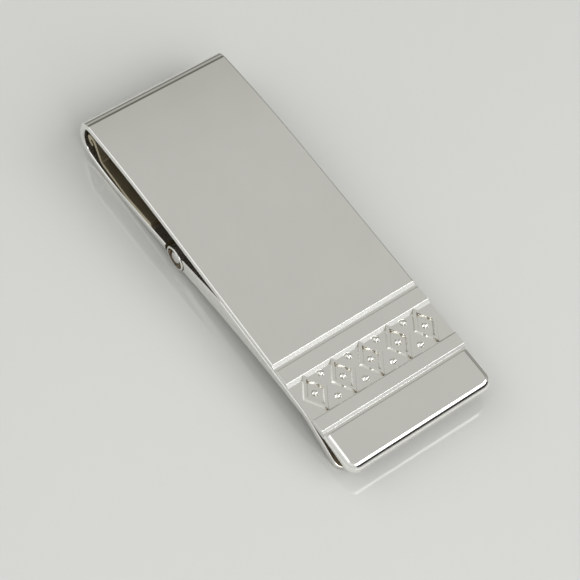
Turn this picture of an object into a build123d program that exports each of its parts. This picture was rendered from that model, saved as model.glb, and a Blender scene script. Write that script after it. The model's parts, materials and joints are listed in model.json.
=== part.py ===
"""Sprung, hinged money clip: a bent silver strip with a leaf on a five-knuckle hinge.

The clip is drawn as it lies on a table: on the bulge of its bend and on the lip of its leaf, so its
plate slopes down to the decorated front by REST_TILT. Every profile is drawn in the clip's own
coordinates: x runs along the plate from the bend to the front, y across, and z up from the plate's
top face. SIDE and TOP are the planes that carry those coordinates. All sizes are in millimetres.
"""
from build123d import *
import os
from math import cos, radians, sin

os.makedirs("parts", exist_ok=True)

# the whole clip
WIDTH = 19.4
FRONT_X = 52.5            # front end of the plate
SHEET = 0.9               # thickness of the bent strip
EDGE = 0.2                # rounding of the strip's long edges
CORNER = 1.4              # rounding of the front corners, seen from above
REST_TILT = 4.39          # degrees that the plate slopes down to the front at rest
REST_X = -24.835          # puts the origin midway along the clip
REST_Z = 7.832            # puts the origin on the table

# the bend: arcs that follow one another, each as (radius, turn in degrees)
SAG = (140.0, 6.8)        # the plate bows down a little before the bend
TOP_CORNER = (2.0, 58.0)
BACK = (6.04, 28.0)
BOTTOM_CORNER = (2.5, 78.0)
EASE = (19.0, 20.2)       # into the return strip
BEND_X = -0.1             # where the bow ends and the top corner starts

# the hinge
PIVOT = (18.65, -4.25)    # its axis, as clip x and z
KNUCKLE_R = 1.6
PROUD = 0.15              # how far the outer knuckles stand out of the clip's sides
PIN_R = 0.85
PIN_GRIP = 0.01           # the pin is tight in the leaf's knuckles
PIN_PLAY = 0.04           # and runs free in the body's
PIN_DOME = 0.4            # rounding of the peened pin ends
MOUTH_R = 1.36            # recess round each pin end
MOUTH_DEPTH = 0.45
SIDE_KNUCKLE = 3.1        # lengths along the axis
BODY_KNUCKLE = 3.6
KNUCKLE_GAP = 0.15
CAM_KNUCKLE = WIDTH + 2 * PROUD - 2 * (SIDE_KNUCKLE + BODY_KNUCKLE) - 4 * KNUCKLE_GAP
CAM_FLAT = 1.3            # distance from the axis to the cam's flats
CAM_ANGLE = 97.0          # direction of the closed leaf's flat
OPEN_ANGLE = 95.0         # how far the leaf swings open
KNUCKLE_EDGE = 0.12
SWING_GAP = 0.16          # round a knuckle that turns against its neighbour
NOTCH_R = 2.25            # the return strip stops this far from the axis at the leaf's knuckles

# the leaf
LEAF_TOP_GAP = 0.1        # between the closed leaf and the plate
LEAF_TOP = -SHEET - LEAF_TOP_GAP
HEEL_TOP = (20.0, -3.05)
HEEL_UNDER = (19.2, -5.46)
ARCH_MIDDLE = (31.4, -3.24)
NECK = (43.0, -2.06)
LEAF_MEETS = 27.6         # where the leaf comes up to the plate
LIP_START = 43.2
LIP_TOP = (6.0, 22.0)     # arcs of the lip, each as (radius, turn in degrees)
LIP_UNDER = (4.0, 25.7)
TOE_START = 48.4
TOE = (3.0, 30.0)
LIP_END = 50.7
LIP_CORNER = 1.2
LEAF_EDGE = 0.15

# the decorated front: each span is (start, end) along the plate
BAND = (37.6, 47.5)
BAND_DROP = 0.07          # the whole band lies this far below the plain field
GROOVES = ((37.6, 38.3), (46.8, 47.5))
GROOVE_DEPTH = 0.32
PANEL = (40.2, 45.2)
PANEL_DEPTH = 0.42
BAND_CUTS = ((*BAND, BAND_DROP), (*PANEL, PANEL_DEPTH), *((*span, GROOVE_DEPTH) for span in GROOVES))
WALL_LEAN = 1.3           # run over depth of each cut's wall on the bend's side, which looks forward
PANEL_MID = sum(PANEL) / 2
BAR_ROUND = 0.24          # edges of the bars and the pad that look back to the bend
CREST_ROUND = 0.06        # edges over the leaning walls
WEDGE_START = 43.6        # the plate thickens from here to the front
WEDGE_THICK = 1.9
PAD_START = 47.3          # the pad past the last groove has its own, fuller rounding
PAD_TOP_ROUND = 0.85
PAD_UNDER_ROUND = 0.4

# the frieze in the sunken panel: lozenge frames from bar to bar, each round a bead, with beads between them
LOZENGES = 5
LOZENGE_PITCH = 3.75
LOZENGE_LONG = 5.2        # along the clip
LOZENGE_WIDE = 3.3        # across it
LOZENGE_TAPER = 22.0      # its walls lean in by this angle
STROKE = 0.62
BEAD_R = 0.42
BEAD_RISE = 0.32
BEAD_ROWS = 3.2           # between the two rows of beads that lie between the lozenges
FRIEZE_RISE = PANEL_DEPTH - BAND_DROP
CRESTS = (GROOVES[0][0], PANEL[0], GROOVES[1][0])
BACK_EDGES = (GROOVES[0][1], PANEL[1], GROOVES[1][1])
WELD = 0.05               # how far raised work reaches into the metal below it

# the flat spring on the return strip
SPRING_THICK = 0.62
SPRING_WIDTH = 19.0
SPRING_LIFT_X = 9.0       # here it leaves the strip
SPRING_LIFT = (8.0, 13.0)
SPRING_FLAT = 4.45
SPRING_HEEL = (0.9, 60.0)     # turns up inside the bend
SPRING_RISE = 2.3
SPRING_ROLL = (0.35, 220.0)   # rolled end
SPRING_TAIL = 0.3
TONGUE_WIDTH = 4.6
TONGUE_ROOT_X = 13.4
TONGUE_UP = (2.0, 26.0)
TONGUE_RUN = 2.67
TONGUE_OVER = (1.6, 30.0)
TONGUE_TIP = 2.0
RIVET_X = 11.0
RIVET_SPACING = 9.0
RIVET_R = 0.6
RIVET_HEAD_R = 1.15
RIVET_HEAD = 0.3

ALONG = (cos(radians(REST_TILT)), 0, -sin(radians(REST_TILT)))
UP = (sin(radians(REST_TILT)), 0, cos(radians(REST_TILT)))
PAD_X = REST_X + PAD_START * ALONG[0]     # the pad's start in the row's own X
SIDE = Plane(origin=(REST_X, 0, REST_Z), x_dir=ALONG, z_dir=(0, -1, 0))
TOP = Plane(origin=(REST_X, 0, REST_Z), x_dir=ALONG, z_dir=UP)


def side_plane(y):
    """The side plane moved to y across the clip, facing -Y."""
    return Plane(origin=(REST_X, y, REST_Z), x_dir=ALONG, z_dir=(0, -1, 0))


def follow(line, arc, way=1):
    """An arc of (radius, turn) that goes on from a line's end; way is 1 to the left, -1 to the right."""
    radius, turn = arc
    return JernArc(line @ 1, line % 1, radius, way * turn)


def straight(line, length):
    """A straight piece that goes on from a line's end."""
    return Line(line @ 1, line @ 1 + (line % 1) * length)


def along_to(line, x):
    """Point straight on from a line's end, at clip x."""
    return line @ 1 + (line % 1) * ((x - (line @ 1).X) / (line % 1).X)


def strip_outline(front):
    """Outer line of the bent strip, from clip x of front to the hinge; needs an active BuildLine."""
    sag_start = BEND_X + SAG[0] * sin(radians(SAG[1]))
    field = Line((front, 0), (sag_start, 0))
    sag = follow(field, SAG)
    top_corner = follow(sag, TOP_CORNER)
    back = follow(top_corner, BACK)
    bottom_corner = follow(back, BOTTOM_CORNER)
    ease = follow(bottom_corner, EASE)
    return Line(ease @ 1, along_to(ease, PIVOT[0]))


def fingers(widths, start):
    """Middles and widths of every second knuckle along the axis, from the one with index start."""
    y = -HINGE_HALF
    found = []
    for index, width in enumerate(widths):
        if index % 2 == start:
            found.append((y + width / 2, width))
        y += width + KNUCKLE_GAP
    return found


HINGE_HALF = WIDTH / 2 + PROUD
KNUCKLES = (SIDE_KNUCKLE, BODY_KNUCKLE, CAM_KNUCKLE, BODY_KNUCKLE, SIDE_KNUCKLE)
LEAF_FINGERS = fingers(KNUCKLES, 0)
BODY_FINGERS = fingers(KNUCKLES, 1)

# ---- the return strip's inner face, where the spring lies ----
with BuildLine() as outline:
    strip_run = strip_outline(FRONT_X)
STRIP_WAY = strip_run % 1
STRIP_ANGLE = STRIP_WAY.get_angle(Vector(1, 0, 0))
STRIP_NORMAL = Vector(-STRIP_WAY.Y, STRIP_WAY.X, 0)


def on_strip(x, lift):
    """Point over the return strip's outer face at clip x, lifted off it by lift."""
    start = strip_run @ 0
    return start + STRIP_WAY * ((x - start.X) / STRIP_WAY.X) + STRIP_NORMAL * lift


def strip_plane(x, lift):
    """Plane on the strip at clip x, facing away from it into the clip."""
    point = on_strip(x, lift)
    normal = SIDE.from_local_coords(STRIP_NORMAL) - SIDE.from_local_coords(Vector(0, 0, 0))
    return Plane(origin=SIDE.from_local_coords(point), x_dir=(0, 1, 0), z_dir=normal)


# ---- one lozenge of the frieze: a frame with a hollow middle ----
with BuildSketch() as lozenge:
    with BuildLine():
        Polyline(
            (LOZENGE_LONG / 2, 0),
            (0, LOZENGE_WIDE / 2),
            (-LOZENGE_LONG / 2, 0),
            (0, -LOZENGE_WIDE / 2),
            close=True,
        )
    make_face()
    offset(amount=-STROKE, kind=Kind.INTERSECTION, mode=Mode.SUBTRACT)


RIVET_PLANE = strip_plane(RIVET_X, 0)


def plate_under(x):
    """Underside of the wedge that thickens the plate towards its front, as a point at clip x."""
    share = (x - WEDGE_START) / (FRONT_X - WEDGE_START)
    return (x, -SHEET - share * (WEDGE_THICK - SHEET))


def top_edges(edges, places):
    """Those edges across the clip that lie on its decorated top at one of the clip x places."""
    found = []
    for edge in edges.filter_by(Axis.Y).filter_by(lambda e: e.length > WIDTH - 2 * CORNER):
        place = TOP.to_local_coords(edge.center())
        if place.Z > -BAND_DROP - 0.01 and any(abs(place.X - x) < 0.1 for x in places):
            found.append(edge)
    return found


# ---- end pad: the last stretch of the plate, rounded all round ----
with BuildPart() as end_pad:
    with BuildSketch(SIDE):
        with BuildLine():
            Polyline((PAD_START, 0), (FRONT_X, 0), plate_under(FRONT_X), plate_under(PAD_START), close=True)
        make_face()
    extrude(amount=WIDTH / 2, both=True)
    fillet(end_pad.edges().filter_by(Axis((0, 0, 0), UP)).group_by(Axis.X)[-1], CORNER)
    for rounding, pick in ((PAD_TOP_ROUND, -1), (PAD_UNDER_ROUND, 0)):
        front = end_pad.faces().filter_by(GeomType.PLANE).sort_by(Axis.X)[-1]
        fillet(front.edges().filter_by(Axis.Y).sort_by(Axis.Z)[pick], rounding)

# ---- clip body: plate, bend and return strip in one piece ----
with BuildPart() as clip_body:
    with BuildSketch(SIDE):
        with BuildLine():
            strip_outline(PAD_START)
            offset(amount=SHEET, side=Side.LEFT)
        make_face()
        with BuildLine():
            Polyline(
                (WEDGE_START, -SHEET),
                plate_under(PAD_START),
                (PAD_START, -SHEET / 2),
                (WEDGE_START, -SHEET / 2),
                close=True,
            )
        make_face()
    extrude(amount=WIDTH / 2, both=True)
    fillet(clip_body.edges().filter_by(lambda e: abs(abs(e.center().Y) - WIDTH / 2) < 0.01
                                       and e.center().X < PAD_X - 0.01), EDGE)
    add(end_pad.part)
    # the decorated band, a little below the plain field, with its grooves and its sunken panel
    for start, end, depth in BAND_CUTS:
        with BuildSketch(SIDE):
            with BuildLine():
                Polyline(
                    (start, 0),
                    (start + WALL_LEAN * depth, -depth),
                    (end, -depth),
                    (end, depth),
                    (start, depth),
                    close=True,
                )
            make_face()
        extrude(amount=WIDTH, both=True, mode=Mode.SUBTRACT)
    for places, rounding in ((BACK_EDGES, BAR_ROUND), (CRESTS, CREST_ROUND)):
        fillet(top_edges(clip_body.edges(), places), rounding)
    # lozenge frames and beads
    with BuildSketch(TOP.offset(-PANEL_DEPTH - WELD)):
        with Locations((PANEL_MID, 0)):
            with GridLocations(1, LOZENGE_PITCH, 1, LOZENGES):
                add(lozenge.sketch)
    extrude(amount=FRIEZE_RISE + WELD, taper=LOZENGE_TAPER)
    with Locations(TOP.offset(-PANEL_DEPTH - BEAD_R + BEAD_RISE)):
        with Locations((PANEL_MID, 0)):
            with GridLocations(1, LOZENGE_PITCH, 1, LOZENGES):
                Sphere(BEAD_R)
            with GridLocations(BEAD_ROWS, LOZENGE_PITCH, 2, LOZENGES - 1):
                Sphere(BEAD_R)
    # seats for the knuckles: a gutter at the strip's end, notched where the leaf's knuckles turn
    with BuildSketch(SIDE):
        with Locations(PIVOT):
            Circle(KNUCKLE_R)
    extrude(amount=WIDTH, both=True, mode=Mode.SUBTRACT)
    for y, length in LEAF_FINGERS:
        with BuildSketch(side_plane(y)):
            with Locations(PIVOT):
                Circle(NOTCH_R)
        extrude(amount=length / 2 + KNUCKLE_GAP, both=True, mode=Mode.SUBTRACT)
    with BuildSketch(RIVET_PLANE):
        with GridLocations(RIVET_SPACING, 1, 2, 1):
            Circle(RIVET_R)
    extrude(amount=2 * SHEET, both=True, mode=Mode.SUBTRACT)

# ---- flat spring: tongue over the cam, flat on the strip, heel turned up and rolled in the bend ----
with BuildPart() as leaf_spring:
    with BuildSketch(SIDE):
        with BuildLine():
            seat = Line(on_strip(TONGUE_ROOT_X, SHEET), on_strip(SPRING_LIFT_X, SHEET))
            lift = follow(seat, SPRING_LIFT, -1)
            flat = straight(lift, SPRING_FLAT)
            heel = follow(flat, SPRING_HEEL, -1)
            rise = straight(heel, SPRING_RISE)
            roll = follow(rise, SPRING_ROLL)
            straight(roll, SPRING_TAIL)
            offset(amount=SPRING_THICK, side=Side.RIGHT)
        make_face()
    extrude(amount=SPRING_WIDTH / 2, both=True)
    with BuildSketch(SIDE):
        with BuildLine():
            root = Line(on_strip(TONGUE_ROOT_X - 1, SHEET), on_strip(TONGUE_ROOT_X, SHEET))
            up = follow(root, TONGUE_UP)
            run = straight(up, TONGUE_RUN)
            over = follow(run, TONGUE_OVER, -1)
            straight(over, TONGUE_TIP)
            offset(amount=SPRING_THICK, side=Side.LEFT)
        make_face()
    extrude(amount=TONGUE_WIDTH / 2, both=True)
    with BuildSketch(RIVET_PLANE):
        with GridLocations(RIVET_SPACING, 1, 2, 1):
            Circle(RIVET_R)
    extrude(amount=2 * SHEET, both=True, mode=Mode.SUBTRACT)

# ---- rivets that hold the spring: heads inside, shanks flush with the strip outside ----
with BuildPart() as spring_rivets:
    with BuildSketch(RIVET_PLANE):
        with GridLocations(RIVET_SPACING, 1, 2, 1):
            Circle(RIVET_R)
    extrude(amount=SHEET + SPRING_THICK)
    with BuildSketch(RIVET_PLANE.offset(SHEET + SPRING_THICK)):
        with GridLocations(RIVET_SPACING, 1, 2, 1):
            Circle(RIVET_HEAD_R)
    extrude(amount=RIVET_HEAD)
    fillet(spring_rivets.edges().group_by(Axis(RIVET_PLANE.origin, RIVET_PLANE.z_dir))[-1], RIVET_HEAD / 2)

# ---- leaf: arched, thick at the hinge, thin at the neck, with a lip that flares down ----
with BuildPart() as leaf:
    with BuildSketch(SIDE):
        with BuildLine():
            slope = Line(HEEL_TOP, (LEAF_MEETS, LEAF_TOP))
            level = Line(slope @ 1, (LIP_START, LEAF_TOP))
            flare = follow(level, LIP_TOP, -1)
            lip_top = Line(flare @ 1, along_to(flare, LIP_END))
            arch = ThreePointArc(HEEL_UNDER, ARCH_MIDDLE, NECK)
            under_flare = follow(arch, LIP_UNDER, -1)
            under = Line(under_flare @ 1, along_to(under_flare, TOE_START))
            toe = follow(under, TOE)
            toe_end = Line(toe @ 1, along_to(toe, LIP_END))
            Line(lip_top @ 1, toe_end @ 1)
            Polyline(HEEL_UNDER, PIVOT, HEEL_TOP)
        make_face()
        with Locations(PIVOT):
            Circle(KNUCKLE_R, mode=Mode.SUBTRACT)
    extrude(amount=WIDTH / 2, both=True)
    fillet(leaf.edges().filter_by(Axis((0, 0, 0), UP)).group_by(Axis.X)[-1], LIP_CORNER)
    fillet(leaf.edges().filter_by(lambda e: abs(abs(e.center().Y) - WIDTH / 2) < 0.01), LEAF_EDGE)
    for y, length in BODY_FINGERS:
        with BuildSketch(side_plane(y)):
            with Locations(PIVOT):
                Circle(KNUCKLE_R + SWING_GAP)
        extrude(amount=length / 2 + KNUCKLE_GAP, both=True, mode=Mode.SUBTRACT)

# ---- knuckles ----
SIDE_NAMES = ("left", "right")
side_knuckles = []
for (y, length), name, outward in zip((LEAF_FINGERS[0], LEAF_FINGERS[-1]), SIDE_NAMES, (-1, 1)):
    with BuildPart() as leaf_knuckle:
        with BuildSketch(side_plane(y)):
            with Locations(PIVOT):
                Circle(KNUCKLE_R)
                Circle(PIN_R - PIN_GRIP, mode=Mode.SUBTRACT)
        extrude(amount=length / 2, both=True)
        with BuildSketch(side_plane(outward * HINGE_HALF)):
            with Locations(PIVOT):
                Circle(MOUTH_R)
        extrude(amount=MOUTH_DEPTH, both=True, mode=Mode.SUBTRACT)
        rim = leaf_knuckle.edges().filter_by(GeomType.CIRCLE).filter_by_position(
            Axis.Y, *sorted((outward * (HINGE_HALF - 0.01), outward * (HINGE_HALF + 0.01))))
        fillet(rim.sort_by(SortBy.RADIUS)[-1:], KNUCKLE_EDGE)
    side_knuckles.append((f"leaf_knuckle_{name}", leaf_knuckle))
for (y, length), name in zip(BODY_FINGERS, SIDE_NAMES):
    with BuildPart() as body_knuckle:
        with BuildSketch(side_plane(y)):
            with Locations(PIVOT):
                Circle(KNUCKLE_R)
                Circle(PIN_R + PIN_PLAY, mode=Mode.SUBTRACT)
        extrude(amount=length / 2, both=True)
    side_knuckles.append((f"body_knuckle_{name}", body_knuckle))

# ---- cam knuckle: the middle of the leaf's hinge, with a flat for the closed leaf and one for the open ----
with BuildPart() as leaf_cam_knuckle:
    with BuildSketch(SIDE):
        with Locations(PIVOT):
            Circle(KNUCKLE_R)
            Circle(PIN_R - PIN_GRIP, mode=Mode.SUBTRACT)
        for angle in (CAM_ANGLE, CAM_ANGLE + OPEN_ANGLE):
            with Locations(Location((*PIVOT, 0), angle)):
                with Locations((CAM_FLAT + KNUCKLE_R, 0)):
                    Rectangle(2 * KNUCKLE_R, 3 * KNUCKLE_R, mode=Mode.SUBTRACT)
    extrude(amount=CAM_KNUCKLE / 2, both=True)

# ---- hinge pin, its ends peened to low domes ----
with BuildPart() as hinge_pin:
    with BuildSketch(SIDE):
        with Locations(PIVOT):
            Circle(PIN_R)
    extrude(amount=HINGE_HALF, both=True)
    fillet(hinge_pin.edges().filter_by(GeomType.CIRCLE), PIN_DOME)

pieces = {
    "clip_body": clip_body,
    "leaf": leaf,
    "leaf_cam_knuckle": leaf_cam_knuckle,
    "hinge_pin": hinge_pin,
    "leaf_spring": leaf_spring,
    "spring_rivets": spring_rivets,
    **dict(side_knuckles),
}
for name, piece in pieces.items():
    piece.part.label = name
    export_step(piece.part, f"parts/{name}.step")
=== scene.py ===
import json
from math import cos, radians, sin

import bpy
from mathutils import Matrix, Vector

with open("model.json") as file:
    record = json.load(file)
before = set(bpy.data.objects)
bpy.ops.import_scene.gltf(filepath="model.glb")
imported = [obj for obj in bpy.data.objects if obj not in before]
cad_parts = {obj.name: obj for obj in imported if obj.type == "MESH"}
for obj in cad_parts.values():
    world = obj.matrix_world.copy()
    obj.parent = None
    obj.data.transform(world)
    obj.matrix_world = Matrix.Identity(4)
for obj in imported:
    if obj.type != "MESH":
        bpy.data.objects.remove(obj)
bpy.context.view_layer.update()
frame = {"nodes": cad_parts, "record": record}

MM = 0.001
PER_METRE = 1000.0        # millimetres in a metre, for textures that are sized in millimetres

# ---- camera: the direction, roll and distance from which the clip is shown ----
CAM_AZIMUTH = 53.01
CAM_ELEVATION = 57.44
CAM_ROLL = 2.08
CAM_AIM = Vector((5.36, -2.10, 4.0)) * MM
CAM_DISTANCE = 184.89 * MM
CAM_LENS = 102.41


def from_angles(azimuth, elevation):
    """Unit vector from the clip towards a viewer at that azimuth and elevation, in degrees."""
    a, e = radians(azimuth), radians(elevation)
    return Vector((sin(a) * cos(e), -cos(a) * cos(e), sin(e)))


def make_camera():
    data = bpy.data.cameras.new("camera")
    data.lens = CAM_LENS
    data.clip_start = 1 * MM
    data.clip_end = 10.0
    camera = bpy.data.objects.new("camera", data)
    bpy.context.scene.collection.objects.link(camera)
    back = from_angles(CAM_AZIMUTH, CAM_ELEVATION)
    turn = (-back).to_track_quat("-Z", "Y").to_matrix() @ Matrix.Rotation(radians(CAM_ROLL), 3, "Z")
    camera.matrix_world = Matrix.Translation(CAM_AIM + back * CAM_DISTANCE) @ turn.to_4x4()
    bpy.context.scene.camera = camera


# ---- node graphs ----
class Graph:
    """A material's node tree, with short calls to add nodes and join them."""

    def __init__(self, tree):
        self.tree = tree

    def add(self, kind, inputs=None, **settings):
        node = self.tree.nodes.new(kind)
        for key, value in settings.items():
            setattr(node, key, value)
        for key, value in (inputs or {}).items():
            if isinstance(value, bpy.types.NodeSocket):
                self.tree.links.new(value, node.inputs[key])
            else:
                node.inputs[key].default_value = value
        return node

    def math(self, operation, a, b=0.0, clamp=False):
        return self.add("ShaderNodeMath", {0: a, 1: b}, operation=operation, use_clamp=clamp).outputs[0]

    def band(self, value, low, high, to_low=0.0, to_high=1.0):
        """value from low..high mapped to to_low..to_high and held at its ends."""
        keys = {0: value, 1: low, 2: high, 3: to_low, 4: to_high}
        return self.add("ShaderNodeMapRange", keys, clamp=True).outputs[0]

    def ramp(self, value, stops):
        """value turned into a colour that runs from stop to stop, each as (value, colour)."""
        node = self.add("ShaderNodeValToRGB", {0: value})
        elements = node.color_ramp.elements
        for place, colour in stops[1:-1]:
            elements.new(place).color = rgba(colour)
        elements[0].position, elements[0].color = stops[0][0], rgba(stops[0][1])
        elements[-1].position, elements[-1].color = stops[-1][0], rgba(stops[-1][1])
        return node.outputs[0]

    def mix(self, share, a, b):
        return self.add("ShaderNodeMix", {0: share, 6: a, 7: b}, data_type="RGBA").outputs[2]

    def noise(self, vector, scale, detail=3.0, rough=0.5):
        keys = {"Vector": vector, "Scale": scale, "Detail": detail, "Roughness": rough}
        return self.add("ShaderNodeTexNoise", keys).outputs[0]

    def bump(self, height, strength, distance):
        keys = {"Strength": strength, "Distance": distance, "Height": height}
        return self.add("ShaderNodeBump", keys).outputs[0]

    def finish(self, keys):
        """The surface shader with those inputs, joined to the material's output."""
        shader = self.add("ShaderNodeBsdfPrincipled", keys)
        self.add("ShaderNodeOutputMaterial", {"Surface": shader.outputs[0]})


def rgba(colour):
    return (*colour, 1.0)


def new_material(name):
    material = bpy.data.materials.new(name)
    material.use_nodes = True
    material.node_tree.nodes.clear()
    return material, Graph(material.node_tree)


# ---- metal ----
# each set of scratches as (angle to the length, noise level above which they show)
SCRATCHES = ((8.0, 0.64), (64.0, 0.66), (-31.0, 0.67))
SCRATCH_STRETCH = (0.22, 9.0, 9.0)   # noise cells per millimetre along a scratch and across it
SCRATCH_FADE = 0.06
SCRATCH_SHEEN = 0.05      # what a scratch adds to the roughness
RECESS_REACH = 2.2 * MM     # how near a wall has to be for tarnish and painted shade
RECESS_ROUGHNESS = 0.22         # what the tarnish and painted shade add to the roughness
RECESS_METAL_LOSS = 0.4           # and what the tarnish and painted shade take from the metallic look
DEEP_REACH = 7.0 * MM     # the same for the painted shade far inside the clip
# what the painted shade far inside the clip takes from the metallic look
DEEP_SHADE_AMOUNT = 0.2
EDGE_REACH = 0.3 * MM     # how near an edge the polish is brighter
RELIEF_HEIGHT = 0.004 * MM
SHADE_SAMPLES = 8


def hairlines(graph, place, angle, level):
    """A sparse set of fine scratches that run at that angle to the clip's length."""
    keys = {"Vector": place, "Rotation": (0.0, 0.0, radians(angle)), "Scale": SCRATCH_STRETCH}
    stretched = graph.add("ShaderNodeMapping", keys).outputs[0]
    grain = graph.noise(stretched, 1.0, 2.0, 0.6)
    return graph.band(grain, level, level + SCRATCH_FADE)


def openness(graph, reach, inside=False):
    """How open the surface is within that reach: 1 in the open, and less in a recess.

    With inside set it looks into the metal instead, and is less near an edge."""
    node = graph.add("ShaderNodeAmbientOcclusion", {"Distance": reach}, samples=SHADE_SAMPLES, inside=inside)
    return node.outputs["AO"]


def metal(name, tone, dull, gloss, worn, lines):
    """Polished metal: fine scratches, soft polishing marks, tarnish with painted shade where parts meet, painted
    shade deep inside the clip, brighter worn edges.

    tone is the clean colour, dull the colour in the recesses, gloss the (lowest, highest) roughness,
    worn how much the edges brighten, and lines how strong the scratches are."""
    material, graph = new_material(name)
    place = graph.add("ShaderNodeTexCoord").outputs["Object"]
    in_mm = graph.add("ShaderNodeMapping", {"Vector": place, "Scale": (PER_METRE,) * 3}).outputs[0]
    smudge = graph.noise(in_mm, 0.16, 4.0, 0.55)
    cloud = graph.noise(in_mm, 0.9, 3.0, 0.5)
    scratch = 0.0
    for angle, level in SCRATCHES:
        scratch = graph.math("ADD", scratch, hairlines(graph, in_mm, angle, level))
    scratch = graph.math("MINIMUM", scratch, 1.0)

    # masks: tarnish with painted shade in the recesses and between parts, painted shade far inside the clip, and
    # the worn edges
    recess_tarnish_shade = graph.band(openness(graph, RECESS_REACH), 0.6, 0.1)
    recess_tarnish_shade = graph.math("MULTIPLY", recess_tarnish_shade, graph.band(cloud, 0.2, 0.8, 0.75, 1.0))
    deep = graph.band(openness(graph, DEEP_REACH), 0.55, 0.27)
    ridge = graph.band(openness(graph, EDGE_REACH, inside=True), 0.75, 0.35, 0.0, worn)

    clean = graph.mix(graph.band(smudge, 0.3, 0.7), rgba(tone), rgba([c * 0.975 for c in tone]))
    bright = graph.mix(ridge, clean, rgba([min(1.0, c * 1.05) for c in tone]))
    # painted shade: the tarnish tone near walls and the dark tone deep inside the clip are mixed into the colour
    colour = graph.mix(deep, graph.mix(recess_tarnish_shade, bright, rgba(dull)), rgba(DEEP_SHADE_TONE))
    sheen = graph.band(smudge, 0.25, 0.75, gloss[0], gloss[1])
    sheen = graph.math("ADD", sheen, graph.math("MULTIPLY", scratch, SCRATCH_SHEEN))
    sheen = graph.math("ADD", sheen, graph.math("MULTIPLY", recess_tarnish_shade, RECESS_ROUGHNESS))
    # the tarnish and the painted shade take from the metallic look
    darkening_sum = graph.math("ADD", graph.math("MULTIPLY", recess_tarnish_shade, RECESS_METAL_LOSS), graph.math("MULTIPLY", deep, DEEP_SHADE_AMOUNT))
    depth = graph.math("SUBTRACT", graph.math("MULTIPLY", cloud, 0.25), graph.math("MULTIPLY", scratch, lines))
    keys = {
        "Base Color": colour,
        "Metallic": graph.math("SUBTRACT", 1.0, darkening_sum, clamp=True),
        "Roughness": sheen,
        # painted shade: less reflection deep inside the clip
        "Specular IOR Level": graph.band(deep, 0.0, 1.0, 0.5, 0.1),
        "Normal": graph.bump(depth, 0.12, RELIEF_HEIGHT),
    }
    graph.finish(keys)
    return material


SILVER = (0.93, 0.925, 0.895)
# tarnish in the hollows, also used as painted shade between the parts
TARNISH_AND_SHADE = (0.34, 0.28, 0.19)
DEEP_SHADE_TONE = (0.19, 0.14, 0.068)       # painted shade: the dark tone deep inside the clip
LOOKS = {
    "polished_silver": metal("polished_silver", SILVER, TARNISH_AND_SHADE, (0.09, 0.15), 0.6, 1.0),
    "leaf_silver": metal("leaf_silver", SILVER, TARNISH_AND_SHADE, (0.10, 0.17), 0.6, 1.0),
    "knuckle_silver": metal("knuckle_silver", (0.91, 0.90, 0.87), TARNISH_AND_SHADE, (0.12, 0.2), 0.5, 1.2),
    "rivet_silver": metal("rivet_silver", (0.89, 0.88, 0.85), TARNISH_AND_SHADE, (0.12, 0.2), 0.5, 1.2),
    "spring_steel": metal("spring_steel", (0.53, 0.465, 0.33), (0.27, 0.21, 0.12), (0.32, 0.45), 0.3, 1.6),
    "pin_steel": metal("pin_steel", (0.72, 0.71, 0.69), (0.2, 0.17, 0.14), (0.12, 0.22), 0.4, 1.6),
}


def dress_nodes():
    for part in frame["record"]["subparts"]:
        slots = frame["nodes"][part["node"]].material_slots
        for slot in slots:
            slot.material = LOOKS[part["material_slot"]]


# ---- stage: a pale, glossy table ----
FLOOR_SIZE = 3.0
TABLE_TONES = ((0.545, 0.55, 0.534), (0.565, 0.57, 0.554))
TABLE_GLOSS = (0.018, 0.032)
TABLE_IOR = 1.65


def floor_material():
    material, graph = new_material("pale_table")
    place = graph.add("ShaderNodeTexCoord").outputs["Object"]
    cloud = graph.noise(place, 9.0, 3.0, 0.5)
    speck = graph.noise(place, 900.0, 2.0, 0.6)
    keys = {
        "Base Color": graph.mix(graph.band(cloud, 0.3, 0.7), rgba(TABLE_TONES[0]), rgba(TABLE_TONES[1])),
        "Roughness": graph.band(cloud, 0.3, 0.7, *TABLE_GLOSS),
        "IOR": TABLE_IOR,
        "Normal": graph.bump(speck, 0.05, 0.01 * MM),
    }
    graph.finish(keys)
    return material


def make_floor():
    half = FLOOR_SIZE / 2
    mesh = bpy.data.meshes.new("table_top")
    corners = [(-half, -half, 0), (half, -half, 0), (half, half, 0), (-half, half, 0)]
    mesh.from_pydata(corners, [], [(0, 1, 2, 3)])
    mesh.materials.append(floor_material())
    floor = bpy.data.objects.new("table_top", mesh)
    bpy.context.scene.collection.objects.link(floor)


# ---- light: a soft surround, large soft boxes and a black flag ----
BRIGHT_WAY = (0.75, -0.66, 0.0)
OVERHEAD = (0.535, 0.535, 0.51)
# what the surround shows from the horizon (0) to overhead (1), each stop as (height, colour)
DIM_SIDE = (
    (0.00, (0.16, 0.158, 0.145)),
    (0.16, (0.20, 0.198, 0.18)),
    (0.26, (0.42, 0.42, 0.39)),
    (0.46, (0.42, 0.42, 0.39)),
    (0.54, (0.12, 0.118, 0.10)),
    (0.64, (0.13, 0.128, 0.11)),
    (0.70, (0.46, 0.46, 0.435)),
    (0.86, OVERHEAD),
)
BRIGHT_SIDE = (
    (0.00, (0.55, 0.555, 0.55)),
    (0.30, (0.72, 0.725, 0.715)),
    (0.62, (0.80, 0.80, 0.79)),
    (0.86, OVERHEAD),
)
FLAG_SPAN = (70.0, 150.0)      # azimuths
FLAG_DISTANCE = 0.45
FLAG_HEIGHT = 0.2
FLAG_PANELS = 24


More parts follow.
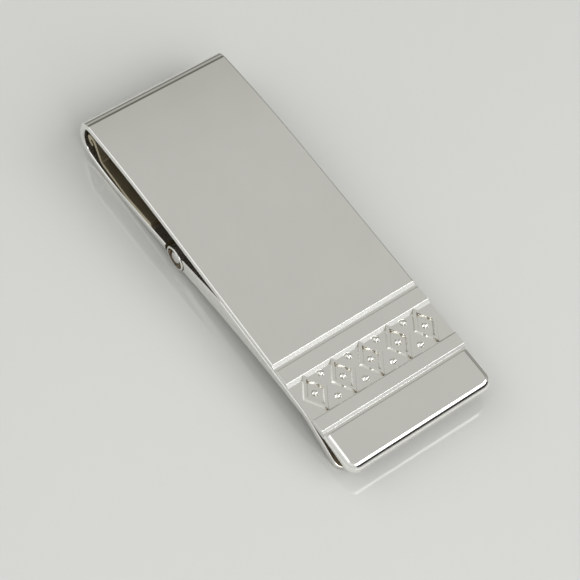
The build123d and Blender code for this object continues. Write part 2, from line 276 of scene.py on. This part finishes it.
def make_world():
    """Light from all round: even overhead, brighter at the clip's front and near side, dim on the others."""
    world = bpy.data.worlds.new("surround")
    bpy.context.scene.world = world
    world.use_nodes = True
    world.node_tree.nodes.clear()
    graph = Graph(world.node_tree)
    way = graph.add("ShaderNodeTexCoord").outputs["Generated"]
    height = graph.add("ShaderNodeSeparateXYZ", {0: way}).outputs["Z"]
    keys = {0: way, 1: BRIGHT_WAY}
    facing = graph.add("ShaderNodeVectorMath", keys, operation="DOT_PRODUCT").outputs["Value"]
    side = graph.band(facing, -0.65, 0.15)
    colour = graph.mix(side, graph.ramp(height, DIM_SIDE), graph.ramp(height, BRIGHT_SIDE))
    light = graph.add("ShaderNodeBackground", {"Color": colour, "Strength": 1.0})
    graph.add("ShaderNodeOutputWorld", {"Surface": light.outputs[0]})


def make_flag():
    """A low black screen in front of the clip. It draws the dark line along the polished nose."""
    low, high = [], []
    for i in range(FLAG_PANELS + 1):
        out = from_angles(FLAG_SPAN[0] + (FLAG_SPAN[1] - FLAG_SPAN[0]) * i / FLAG_PANELS, 0.0) * FLAG_DISTANCE
        low.append(tuple(out))
        high.append((out.x, out.y, FLAG_HEIGHT))
    faces = [(i, i + 1, i + FLAG_PANELS + 2, i + FLAG_PANELS + 1) for i in range(FLAG_PANELS)]
    mesh = bpy.data.meshes.new("flag")
    mesh.from_pydata(low + high, [], faces)
    material, graph = new_material("black_cloth")
    weave = graph.noise(graph.add("ShaderNodeTexCoord").outputs["Object"], 800.0)
    colour = graph.mix(weave, rgba((0.004, 0.004, 0.005)), rgba((0.012, 0.012, 0.014)))
    graph.finish({"Base Color": colour, "Roughness": 0.9})
    mesh.materials.append(material)
    flag = bpy.data.objects.new("flag", mesh)
    bpy.context.scene.collection.objects.link(flag)
    flag.visible_camera = False
    flag.visible_diffuse = False
    flag.visible_shadow = False


def soft_box(name, azimuth, elevation, distance, size, power, mirrored):
    """A rectangular soft box seen from the clip at that azimuth and elevation, turned to face it.

    mirrored says whether polished surfaces show its picture."""
    data = bpy.data.lights.new(name, "AREA")
    data.shape = "RECTANGLE"
    data.size, data.size_y = size
    data.energy = power
    light = bpy.data.objects.new(name, data)
    bpy.context.scene.collection.objects.link(light)
    out = from_angles(azimuth, elevation)
    light.matrix_world = Matrix.Translation(out * distance) @ (-out).to_track_quat("-Z", "Y").to_matrix().to_4x4()
    light.visible_camera = False
    light.visible_glossy = mirrored


# each soft box as (name, azimuth, elevation, distance, size, power, mirrored)
SOFT_BOXES = (
    ("front_box", 110.0, 45.5, 0.9, (1.3, 0.38), 5.0, True),
    ("low_box", 104.0, 27.0, 0.5, (0.6, 0.2), 1.2, False),
    ("side_box", -30.0, 50.0, 1.0, (0.9, 0.4), 0.8, True),
    ("back_fill", -70.0, 38.0, 0.7, (0.7, 0.4), 0.9, False),
)

bpy.context.scene.view_settings.view_transform = "Standard"
make_camera()
dress_nodes()
make_floor()
make_world()
make_flag()
for box in SOFT_BOXES:
    soft_box(*box)
